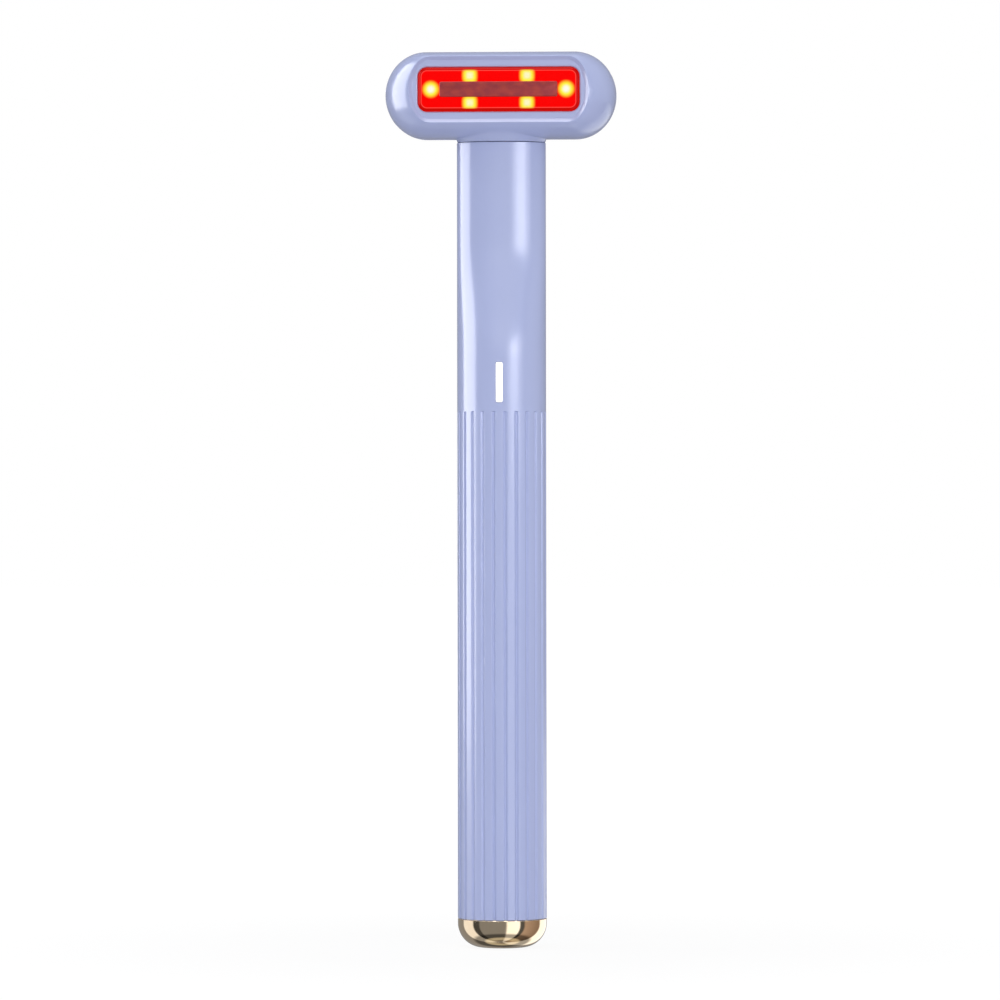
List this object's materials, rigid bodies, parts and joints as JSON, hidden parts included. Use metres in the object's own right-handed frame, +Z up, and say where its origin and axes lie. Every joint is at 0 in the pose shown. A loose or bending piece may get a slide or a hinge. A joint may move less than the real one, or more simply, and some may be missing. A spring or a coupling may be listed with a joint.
{
  "type": "red light therapy wand",
  "caption": "Handheld light therapy wand: slim grooved barrel, T-shaped swivelling head with a red lamp window and metal contact bar, lit power key and metal base cap.",
  "frame": {"origin": "centre of the base cap's flat foot, on the barrel's axis", "axes": "+Z up the barrel's axis to the head, which is also the head's swivel axis; -Y is the front, where the window and the power key face"},
  "size_m": [0.0426, 0.0196, 0.165],
  "materials": {
    "casing": "satin lavender moulded plastic",
    "cap_metal": "polished champagne gold plating",
    "window": "clear red moulded lens, lit from behind",
    "contact_metal": "satin metal lit red by the window",
    "key": "white diffusing plastic, lit from behind",
    "lamp": "clear silicone over a yellow phosphor",
    "seal": "matt black rubber",
    "steel": "plain bright steel",
    "brass": "turned brass",
    "black_plastic": "matt black moulded plastic",
    "white_plastic": "white nylon",
    "board": "green solder mask",
    "battery_film": "blue shrink film",
    "capacitor": "tan ceramic",
    "coil": "enamelled copper winding",
    "lead": "black silicone insulation"
  },
  "bodies": {
    "handle": {"handle_shell": "casing", "base_cap": "cap_metal", "base_seal": "seal", "charge_port": "steel", "port_tongue": "black_plastic", "port_board": "board", "cap_contact": "brass", "inner_chassis": "black_plastic", "battery_cell": "battery_film", "battery_tab_lower": "steel", "battery_tab_upper": "steel", "main_board": "board", "board_screw_1": "steel", "board_screw_2": "steel", "charger_chip": "black_plastic", "controller_chip": "black_plastic", "capacitor_1": "capacitor", "capacitor_2": "capacitor", "boost_coil": "coil", "board_connector": "white_plastic", "lead_bundle": "lead", "switch_body": "steel", "indicator_led_1": "lamp", "indicator_led_2": "lamp", "pivot_bushing": "white_plastic"},
    "head": {"head_front_shell": "casing", "head_back_shell": "casing", "light_window": "window", "window_gasket": "seal", "contact_plate": "contact_metal", "led_board": "board", "led_1": "lamp", "led_2": "lamp", "led_3": "lamp", "led_4": "lamp", "led_5": "lamp", "led_6": "lamp", "head_connector": "white_plastic", "pivot_tube": "brass", "friction_washer": "steel", "stop_ring": "steel", "pivot_clip": "steel", "motor_cradle": "black_plastic", "motor_can": "steel"},
    "rotor": {"motor_shaft": "steel", "eccentric_weight": "brass"},
    "button": {"power_button": "key", "switch_plunger": "black_plastic"}
  },
  "joints": [
    {"name": "head_swivel", "type": "hinge", "parent": "handle", "child": "head", "pos_m": [0, 0, 0.1483], "axis": [0, 0, 1], "range_deg": [-90, 90]},
    {"name": "motor_spin", "type": "hinge", "parent": "head", "child": "rotor", "pos_m": [0.002, 0.0046, 0.158], "axis": [1, 0, 0], "continuous": true},
    {"name": "button_press", "type": "slide", "parent": "handle", "child": "button", "axis": [0, 1, 0], "range_m": [0, 0.0003], "stiffness_N_per_m": 2000}
  ]
}
